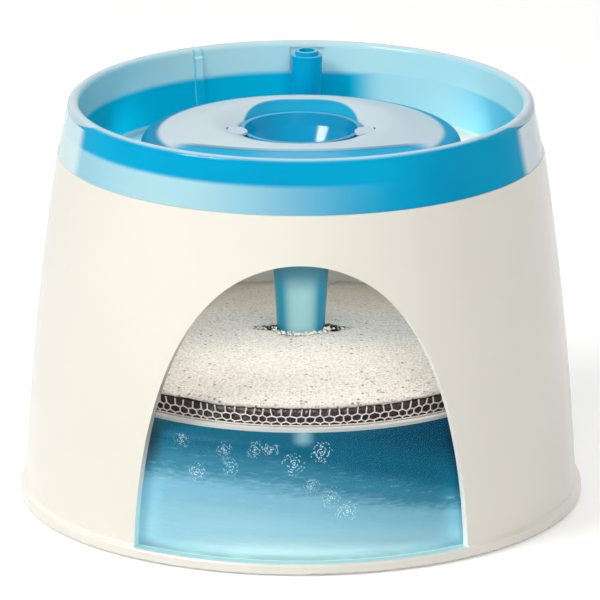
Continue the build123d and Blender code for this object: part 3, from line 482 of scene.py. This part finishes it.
def foam_material():
    """Off-white foam with grey flecks at its front edge. Painted shade browns its rear, greys its far edge
    and blackens a ragged oval at the hole and slit; painted light whitens its highest bits.
    """
    m = Mat("open_cell_foam", Roughness=0.95, Specular_IOR_Level=0.15)
    x, y, z = m.place()
    m.wander(900.0, lin(222, 211, 202), lin(246, 237, 229))
    m.paint(m.step(m.lots(1500.0), 0.62, 1.0) * 0.34, lin(150, 140, 136))
    front_edge = m.step(z, FOAM_TOP - 1.1, FOAM_TOP - 6.4) * m.step(y, -20.0, -80.0)
    share = front_edge * (m.step(x, -20.0, 50.0) * 0.18 + 0.12) + 0.05
    m.paint(flecks(m, 470.0, share, 0.33) * 0.72, lin(84, 88, 92))
    m.paint(flecks(m, 820.0, share + 0.10, 0.36) * 0.45, lin(112, 112, 116))
    # Painted shade: the rear is browner.
    m.paint(m.step(y, -5.0, 55.0) * 0.66, lin(150, 132, 116))
    # Painted shade: the far edge takes the shaded wall's grey.
    m.paint(m.step(y, 73.0, 84.0) * 0.75, lin(152, 144, 134))
    ragged = m.noise(620.0, 3.0, rough=0.7) - 0.5
    spread = m.hypot(x / 20.6, (y + 0.5) / 6.6) + ragged * 0.8
    # Painted shade: a black ragged oval where the hole and slit go deep.
    m.paint(m.step(spread, 1.02, 0.86), lin(20, 14, 12))
    # Painted light on the bits that stand highest.
    m.paint(m.step(z, FOAM_TOP + 0.3, FOAM_TOP + 0.8), lin(255, 252, 248))
    m.bump(m.cells(900.0) * 0.6 + m.noise(420.0, 3.0), 0.5, 0.4)
    return m


def carbon_material():
    m = Mat("carbon_granules", Roughness=0.55, Specular_IOR_Level=0.4)
    m.ground(m.mix(m.lots(480.0), lin(20, 10, 8), lin(58, 40, 34)))
    m.bump(m.cells(480.0), 0.8, 0.9)
    return m


def net_material():
    m = Mat("white_net_yarn", Roughness=0.7, Sheen_Weight=0.2)
    m.wander(500.0, lin(246, 238, 234), lin(222, 210, 206))
    m.bump(m.noise(2200.0, 1.0, m.stretch(1, 1, 4)), 0.08, 0.6)
    return m


# ---------------------------------------------------------------- water
# Painted light and shade: the water's tones run from pale at the floor to dark under the shelf.
WATER_TONES = [  # share of the height below, colour
    (0.02, lin(250, 255, 255)),
    (0.09, lin(206, 244, 248)),
    (0.20, lin(160, 212, 228)),
    (0.38, lin(130, 192, 216)),
    (0.52, lin(58, 136, 164)),
    (0.67, lin(12, 102, 132)),
    (0.94, lin(0, 66, 94)),
]
TONES_HEIGHT = 75.0  # the height that the tones above are spread over


def water_material():
    """Water seen through the window, coloured with painted light and shade: dark under the shelf, rippled in
    the middle, pale at the floor.
    """
    m = Mat("tank_water", Roughness=0.4, Specular_IOR_Level=0.02, IOR=1.33)
    x, _, z = m.place()
    streak = m.noise(26.0, 5.0, m.stretch(1.0, 1.0, 5.5), 0.62)
    ripple = m.noise(230.0, 3.0, m.stretch(1.0, 1.0, 5.0), 0.6)
    level = z + x * x * 0.0018 + x * (m.step(z, 4.0, 34.0) * 0.16)
    zone = m.step(level, 50.0, 40.0) * m.step(level, 20.0, 30.0)
    level = level + (streak - 0.5) * (zone * 3.0 + 4.0) + (ripple - 0.5) * (zone * 7.0 + 2.0)
    m.ground(m.ramp(m.math("DIVIDE", level, TONES_HEIGHT, clamp=True), WATER_TONES))
    # Painted glints in the rippled middle.
    glint = m.step(m.noise(150.0, 4.0, m.stretch(1.0, 1.0, 4.5), 0.7), 0.54, 0.72) * zone
    m.paint(glint * 0.25, lin(190, 226, 236))
    # Painted pool of light just under the shelf, in the middle.
    spot = m.hypot((x - 0.9) / 4.0, (z - WATER_TOP - 0.6) / 2.6)
    m.paint(m.step(spot, 1.5, 0.0) * 0.7, lin(158, 206, 222))
    # Painted shade beside the arch's left side.
    left_shade = m.step(x + ARCH_SIDE_X - z * ARCH_LEAN, 6.0, 0.0) * m.step(z, 34.0, 50.0)
    m.paint(left_shade * 0.4, lin(70, 78, 84))
    # Painted light: the water glows along the arch's sides and at the floor, though it is no lamp.
    beside = ARCH_SIDE_X - abs(x) - z * ARCH_LEAN
    edge = m.larger(m.step(beside, 10.0, 0.0) * m.step(z, 50.0, 26.0), m.step(z, 10.5, 4.0) * 0.7)
    m.put("Emission Color", m.tone)
    m.put("Emission Strength", edge * 0.34)
    m.bump(streak, 1.5, 0.35)
    return m


def bubble_material():
    m = Mat("water_bubbles", Roughness=0.05, IOR=1.2)
    m.wander(700.0, lin(176, 226, 240), lin(232, 250, 254))
    return m


# ---------------------------------------------------------------- mesh helpers
def piece(name, mesh, body, mat):
    obj = bpy.data.objects.new(name, mesh)
    bpy.context.scene.collection.objects.link(obj)
    obj.data.materials.clear()
    obj.data.materials.append(mat.material)
    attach(obj, body)
    return obj


def temp_object(mesh):
    obj = bpy.data.objects.new("scratch", mesh)
    bpy.context.scene.collection.objects.link(obj)
    return obj


def applied(obj):
    """The object's mesh with its modifiers applied; the object itself is removed."""
    depsgraph = bpy.context.evaluated_depsgraph_get()
    mesh = bpy.data.meshes.new_from_object(obj.evaluated_get(depsgraph))
    bpy.data.objects.remove(obj)
    return mesh


def finished(bm, name):
    mesh = bpy.data.meshes.new(name)
    bm.to_mesh(mesh)
    bm.free()
    return mesh


def lathe(profile, segments, name):
    """A closed profile of (radius, z), turned about the main axis. It starts and ends on the axis."""
    bm = bmesh.new()
    turn = [2 * math.pi * i / segments for i in range(segments)]
    rows = []
    for r, z in profile:
        angles = turn if r else [0.0]
        rows.append([bm.verts.new((r * MM * math.cos(a), r * MM * math.sin(a), z * MM)) for a in angles])
    for low, high in zip(rows, rows[1:]):
        for i in range(segments):
            j = (i + 1) % segments
            if len(low) == 1:
                bm.faces.new((low[0], high[j], high[i]))
            elif len(high) == 1:
                bm.faces.new((low[i], low[j], high[0]))
            else:
                bm.faces.new((low[i], low[j], high[j], high[i]))
    bmesh.ops.recalc_face_normals(bm, faces=bm.faces)
    mesh = finished(bm, name)
    mesh.shade_smooth()
    return mesh


def slot_cutter():
    """The U-shaped slot at the rear through which the riser and the cord pass."""
    bottom, height, rear_y, arc_steps = 40.0, 60.0, 140.0, 24
    outline = []
    for i in range(arc_steps + 1):
        a = math.pi + math.pi * i / arc_steps
        outline.append((PIPE[0] + SLOT_HALF * math.cos(a), PIPE[1] + SLOT_HALF * math.sin(a)))
    outline += [(PIPE[0] + SLOT_HALF, rear_y), (PIPE[0] - SLOT_HALF, rear_y)]
    bm = bmesh.new()
    face = bm.faces.new([bm.verts.new((x * MM, y * MM, bottom * MM)) for x, y in outline])
    grown = bmesh.ops.extrude_face_region(bm, geom=[face])
    top = [v for v in grown["geom"] if isinstance(v, bmesh.types.BMVert)]
    bmesh.ops.translate(bm, verts=top, vec=(0, 0, height * MM))
    bmesh.ops.recalc_face_normals(bm, faces=bm.faces)
    return temp_object(finished(bm, "slot_cutter"))


def cut_slot(mesh):
    obj = temp_object(mesh)
    cutter = slot_cutter()
    boolean = obj.modifiers.new("slot", "BOOLEAN")
    boolean.operation = "DIFFERENCE"
    boolean.solver = "EXACT"
    boolean.object = cutter
    result = applied(obj)
    bpy.data.objects.remove(cutter)
    return result


def shake(mesh, amplitude, size, seed):
    """Moves each point along its normal by smooth noise."""
    offset = Vector((seed, 2 * seed, 3 * seed))
    moves = []
    for v in mesh.vertices:
        moves.append(v.normal * amplitude * MM * noise.noise(v.co / (size * MM) + offset))
    for v, move in zip(mesh.vertices, moves):
        v.co += move


# ---------------------------------------------------------------- CAD nodes
def dress(names, mat):
    """Gives CAD nodes one material."""
    for name in names:
        materials = NODES[name].data.materials
        materials.clear()
        materials.append(mat.material)


# nodes, material, dark and light tone, cloud scale, roughness, grain scale, grain depth
PLAIN_NODES = [
    (["funnel_seal", "riser_sleeve", "riser_elbow"],
     "clear_silicone", (212, 218, 218), (226, 230, 230), 60.0, 0.35, 900.0, 0.03),
    (["rubber_feet"],
     "grey_rubber", (96, 97, 99), (112, 113, 115), 80.0, 0.75, 1500.0, 0.06),
    (["filter_tray"],
     "tray_plastic", (232, 230, 224), (240, 238, 233), 40.0, 0.42, 1200.0, 0.04),
    (["pump_body", "pump_end_cap", "pump_strainer"],
     "black_pump_plastic", (30, 31, 34), (40, 41, 44), 70.0, 0.4, 1500.0, 0.06),
    (["pump_cover"],
     "grey_pump_plastic", (62, 65, 70), (74, 77, 82), 70.0, 0.36, 1500.0, 0.05),
    (["cable_gland", "rear_bush", "front_bush", "suction_cups"],
     "black_rubber", (24, 24, 25), (34, 34, 35), 90.0, 0.7, 1200.0, 0.06),
    (["flow_regulator"],
     "regulator_plastic", (196, 200, 202), (212, 215, 216), 90.0, 0.3, 1500.0, 0.04),
    (["impeller"],
     "impeller_plastic", (228, 228, 222), (238, 238, 233), 90.0, 0.35, 1500.0, 0.04),
    (["rotor_magnet"],
     "ferrite_magnet", (38, 38, 40), (54, 54, 57), 160.0, 0.5, 1800.0, 0.06),
    (["impeller_shaft"],
     "shaft_ceramic", (230, 230, 226), (242, 242, 238), 160.0, 0.2, 1800.0, 0.02),
    (["riser_tube"],
     "translucent_tube", (214, 222, 224), (226, 232, 233), 60.0, 0.25, 900.0, 0.03),
]


def dress_nodes():
    dress(["housing_shell", "top_ring", "shelf_bosses", "base_plate"], white_shell())
    dress(["shelf_ring"], white_shelf())
    dress(["drinking_dish"], blue_dish())
    dress(["dome"], blue_dome())
    dress(["funnel"], blue_funnel())
    dress(["standpipe"], blue_pipe())
    dress(["window_pane"], clear_pane())
    dress(["window_gasket"], window_gasket())
    dress(["shelf_screws", "cover_screws"], steel_screw())
    dress(["stator_core"], stator_steel())
    dress(["stator_coil"], coil_copper())
    for names, *look in PLAIN_NODES:
        dress(names, plain(*look))


# ---------------------------------------------------------------- foam pad
VOXEL = 1.3
TUFT_COUNT = 150
SLIT_TUFT_COUNT = 40


def tuft_places():
    """Where bits of foam stand up: x, y and height above the pad, round the hole's front and at the slit."""
    places = []
    for i in range(TUFT_COUNT):
        a = math.radians(-168 + 156 * (i + rng.uniform(-0.4, 0.4)) / (TUFT_COUNT - 1))
        if noise.noise(Vector((a * 13.0, 0, 0))) < -0.12:
            continue
        r = HOLE_R + rng.uniform(0.4, 3.2)
        places.append((r * math.cos(a), r * math.sin(a), rng.uniform(-0.1, 1.2)))
    for i in range(SLIT_TUFT_COUNT):
        side = -1 if i % 2 else 1
        x = rng.uniform(12.0, 19.5)
        y = -SLIT_HALF * math.sqrt(1 - (x / TUFT_REACH) ** 2) - rng.uniform(-0.2, 1.0)
        places.append((side * x, y, rng.uniform(-0.2, 0.4)))
    return places


def add_tufts(mesh):
    """Torn bits of foam that stand up round the front of the hole and along the slit."""
    bm = bmesh.new()
    bm.from_mesh(mesh)
    for x, y, rise in tuft_places():
        ball = bmesh.ops.create_icosphere(bm, subdivisions=1, radius=rng.uniform(0.22, 0.72) * MM)
        for v in ball["verts"]:
            v.co *= rng.uniform(0.5, 1.6)
            v.co += Vector((x, y, FOAM_TOP + rise)) * MM
    bm.to_mesh(mesh)
    bm.free()


def make_foam():
    source = temp_object(NODES["foam_pad"].data.copy())
    remesh = source.modifiers.new("voxels", "REMESH")
    remesh.mode = "VOXEL"
    remesh.voxel_size = VOXEL * MM
    mesh = applied(source)
    shake(mesh, 0.35, 2.2, 3)
    shake(mesh, 0.7, 14.0, 5)
    add_tufts(mesh)
    mesh.shade_smooth()
    foam_block = piece("foam_block", mesh, "filter", foam_material())
    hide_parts("foam_pad")


# ---------------------------------------------------------------- carbon granules and their net
NET_R = 93.95
STRAND_R = 0.3
CELL_COUNT = 142
SLOT_ANGLE = math.radians(8.2)  # half the angle that the slot takes out of the net
TOP_Z, MIDDLE_Z, LOW_Z, FOOT_Z, HEM_Z = 64.5, 61.7, 59.05, 58.35, 57.35  # rows of knots


def make_carbon():
    profile = [
        (0, CARBON_Z + 0.05),
        (40, CARBON_Z + 0.05),
        (CARBON_R - 0.65, CARBON_Z + 0.05),
        (CARBON_R - 0.55, TRAY_Z + 0.15),
        (CARBON_R - 0.15, TRAY_Z + 0.1),
        (CARBON_R, CARBON_Z + 0.6),
        (CARBON_R, CARBON_TOP - 1.3),
        (CARBON_R - 0.2, CARBON_TOP - 0.1),
        (CARBON_R - 1.0, CARBON_TOP),
        (40, CARBON_TOP),
        (0, CARBON_TOP),
    ]
    mesh = cut_slot(lathe(profile, 720, "carbon_granules"))
    carbon = piece("carbon_granules", mesh, "filter", carbon_material())
    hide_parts("carbon_pad")


def net_strands():
    """Rows of (angle, z) points: a zigzag between two rows of cells, uprights and a wavy hem."""
    start = math.pi / 2 + SLOT_ANGLE
    step = (2 * math.pi - 2 * SLOT_ANGLE) / CELL_COUNT
    tops, mids, halves, lows, feet, hems = [], [], [], [], [], []
    for i in range(CELL_COUNT + 1):
        a = start + step * (i + rng.uniform(-0.16, 0.16) * (0 < i < CELL_COUNT))
        dip = 0.5 * noise.noise(Vector((a * 4.0, 0, 0)))
        tops.append((a + step * rng.uniform(-0.2, 0.2), TOP_Z))
        mids.append((a, MIDDLE_Z + dip + rng.uniform(-0.3, 0.3)))
        feet.append((a + step * rng.uniform(-0.12, 0.12), FOOT_Z + rng.uniform(-0.15, 0.15)))
        hems.append((a, HEM_Z))
    for (a, z), (b, w) in zip(mids, mids[1:]):
        middle = (a + b) / 2 + step * rng.uniform(-0.12, 0.12)
        halves.append((middle, (z + w) / 2 - 0.8 + rng.uniform(-0.2, 0.2)))
        lows.append((middle + step * rng.uniform(-0.15, 0.15), LOW_Z + rng.uniform(-0.2, 0.2)))
    zigzag, second, hem = [], [], []
    for i in range(CELL_COUNT):
        zigzag += [mids[i], halves[i]]
        second += [feet[i], lows[i]]
        hem += [hems[i], (halves[i][0], HEM_Z + 0.12)]
    strands = [zigzag + [mids[-1]], second + [feet[-1]], hem + [hems[-1]]]
    for upper, lower in ((tops, mids), (halves, lows), (feet, hems)):
        strands += [list(pair) for pair in zip(upper, lower)]
    return strands


def net_point(angle, z):
    """A knot's place on the net, which stands out a little near the tray."""
    sag = 0.25 * noise.noise(Vector((angle * 9, z * 0.2, 4.0)))
    r = (NET_R + (0.12 if z < CARBON_Z else 0.0) + sag) * MM
    return (r * math.cos(angle), r * math.sin(angle), z * MM)


def make_net():
    curve = bpy.data.curves.new("net_strands", "CURVE")
    curve.dimensions = "3D"
    curve.bevel_depth = STRAND_R * MM
    curve.bevel_resolution = 2
    curve.use_fill_caps = True
    for strand in net_strands():
        spline = curve.splines.new("POLY")
        spline.points.add(len(strand) - 1)
        for target, (angle, z) in zip(spline.points, strand):
            target.co = (*net_point(angle, z), 1)
    mesh = applied(temp_object(curve))
    mesh.shade_smooth()
    net = piece("honeycomb_net", mesh, "filter", net_material())
    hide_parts("filter_net")


# ---------------------------------------------------------------- water and bubbles
PANE_STEPS = 12
RING_SHARES = (0.12, 0.36, 0.6, 0.84, 1.05)  # of a cluster's radius
CLUSTERS = [  # x and z of the middle, radius, strength
    (-43.1, 39.4, 3.8, 0.9),
    (-31.9, 50.2, 3.0, 0.55),
    (-29.4, 43.0, 3.6, 0.6),
    (-19.0, 51.0, 3.4, 0.55),
    (-12.2, 51.2, 3.0, 0.65),
    (-2.9, 45.6, 4.4, 1.0),
    (8.3, 50.4, 4.0, 1.0),
    (-49.6, 52.2, 3.0, 0.4),
    (4.2, 36.2, 3.0, 0.35),
    (12.5, 31.0, 4.2, 0.6),
    (19.1, 24.6, 4.2, 1.0),
]


def make_water():
    """The tank's water: it follows the pane's back from the ledge up and stops under the shelf."""
    low = LEDGE_Z + 0.1
    profile = [(0, WATER_LOW), (60, WATER_LOW), (WATER_R, WATER_LOW), (WATER_R, low)]
    for i in range(PANE_STEPS + 1):
        z = low + (WATER_TOP - low) * i / PANE_STEPS
        profile.append((wall_r(z) - PANE_BACK - 0.2, z))
    profile += [(80, WATER_TOP), (30, WATER_TOP), (0, WATER_TOP)]
    piece("tank_water", lathe(profile, 360, "tank_water"), "tank", water_material())


def ring_bubbles(cx, cz, spread, strength, share):
    """One loose ring of a cluster: each bubble's place, size, length and direction."""
    count = round(46 * share + 4)
    gap = rng.uniform(0, 2 * math.pi)
    for i in range(count):
        a = gap + 2 * math.pi * (i + rng.uniform(-0.45, 0.45)) / count
        if math.cos(2 * (a - gap) + 3 * share) > 0.55 or rng.random() > 1.15 - 0.6 * share:
            continue
        reach = spread * share * rng.uniform(0.88, 1.12)
        x = cx + reach * math.cos(a)
        z = min(cz + reach * math.sin(a), WATER_TOP - 0.6)
        r = wall_r(z) - PANE_BACK - 0.22
        y = -math.sqrt(r * r - x * x)
        size = rng.uniform(0.14, 0.28) * (0.4 + 0.6 * strength) * (1.2 - 0.4 * share)
        yield (x, y, z), size, rng.uniform(1.0, 2.2), a + math.pi / 2


def make_bubbles():
    """Loose rings of tiny bubbles, seen behind the window. Each is drawn out along its ring."""
    bm = bmesh.new()
    for *cluster, strength in CLUSTERS:
        for share in RING_SHARES:
            for (x, y, z), size, long, turn in ring_bubbles(*cluster, strength, share):
                ball = bmesh.ops.create_icosphere(bm, subdivisions=1, radius=size * MM)
                for v in ball["verts"]:
                    along = (v.co.x * math.cos(turn) + v.co.z * math.sin(turn)) * (long - 1)
                    v.co.x += along * math.cos(turn)
                    v.co.z += along * math.sin(turn)
                    v.co.y *= 0.5
                    v.co += Vector((x * MM, y * MM, z * MM))
    mesh = finished(bm, "water_bubbles")
    mesh.shade_smooth()
    piece("water_bubbles", mesh, "tank", bubble_material())


# ---------------------------------------------------------------- studio, in metres
TARGET = Vector((-0.0004, 0.0, 0.08404))
DISTANCE = 3.3991
ELEVATION = 0.2886
LENS = 479.2
FLOOR_HALF = 30.0
WORLD_LIGHT = 0.38
WHITE = (1, 1, 1, 1)
WARM = (1.0, 0.95, 0.88)
KEY_PLACE = (-1.47, -0.92, 1.72)


def studio_floor():
    s = FLOOR_HALF
    mesh = bpy.data.meshes.new("studio_floor")
    mesh.from_pydata([(-s, -s, 0), (s, -s, 0), (s, s, 0), (-s, s, 0)], [], [(0, 1, 2, 3)])
    m = Mat("studio_floor", Roughness=0.9, Specular_IOR_Level=0.0)
    m.ground(m.mix(m.noise(3.0), lin(236, 236, 236), lin(240, 240, 240)))
    m.put("Emission Color", WHITE)
    m.put("Emission Strength", m.is_seen() * 0.3)
    floor = bpy.data.objects.new("studio_floor", mesh)
    bpy.context.scene.collection.objects.link(floor)
    mesh.materials.append(m.material)


def area_light(name, place, aim, size, power, colour=(1, 1, 1), unseen_by=()):
    """A rectangular lamp. Rays of the kinds in unseen_by don't meet it."""
    data = bpy.data.lights.new(name, "AREA")
    data.shape = "RECTANGLE"
    data.size, data.size_y = size
    data.energy = power
    data.color = colour
    lamp = bpy.data.objects.new(name, data)
    lamp.location = place
    lamp.rotation_euler = (Vector(aim) - Vector(place)).to_track_quat("-Z", "Y").to_euler()
    for kind in unseen_by:
        setattr(lamp, "visible_" + kind, False)
    bpy.context.scene.collection.objects.link(lamp)


def studio_lamps():
    """A key from the left, a fill without a mirror image, a glint in mirrors alone, and two lamps inside."""
    middle = (0, 0, 0.12)
    area_light("key_softbox", KEY_PLACE, middle, (0.8, 0.8), 25.5, (1.0, 0.985, 0.96))
    area_light("front_fill", (0.4, -2.6, 1.65), (0, 0, 0.1), (1.4, 0.8), 25.0, (1.0, 0.99, 0.97), ["glossy"])
    area_light("key_glint", KEY_PLACE, middle, (0.8, 0.8), 230.0, (1.0, 0.99, 0.93), ["diffuse"])
    area_light("rear_softbox", (0.3, 1.5, 2.1), (0, 0, 0.15), (2.0, 1.0), 12.0)
    area_light("inside_front", (0, -0.042, 0.136), (0, -0.054, 0.06), (0.13, 0.05), 0.059, WARM, ["camera"])
    area_light("inside_rear", (0, 0.030, 0.136), (0, 0.10, 0.095), (0.14, 0.04), 0.072, WARM, ["camera"])


def studio_world():
    """Plain soft light, and white where the camera or a mirror sees it."""
    world = bpy.data.worlds.new("studio")
    world.use_nodes = True
    bpy.context.scene.world = world
    tree = Tree(world.node_tree)
    range_inputs = {"Value": tree.is_seen(), "To Min": WORLD_LIGHT, "To Max": 1.0}
    strength = tree.node("ShaderNodeMapRange", range_inputs).outputs[0]
    sky = tree.node("ShaderNodeBackground", {"Color": WHITE, "Strength": strength})
    tree.node("ShaderNodeOutputWorld", {"Surface": sky.outputs[0]})


def photo_camera():
    data = bpy.data.cameras.new("photo_camera")
    data.sensor_width = 36.0
    data.lens = LENS
    data.clip_end = 50.0
    camera = bpy.data.objects.new("photo_camera", data)
    offset = Vector((0, -math.cos(ELEVATION), math.sin(ELEVATION))) * DISTANCE
    camera.location = TARGET + offset
    camera.rotation_euler = (-offset).to_track_quat("-Z", "Y").to_euler()
    bpy.context.scene.collection.objects.link(camera)
    bpy.context.scene.camera = camera


dress_nodes()
make_foam()
make_carbon()
make_net()
make_water()
make_bubbles()
studio_floor()
studio_lamps()
studio_world()
photo_camera()
bpy.context.scene.view_settings.view_transform = "Standard"
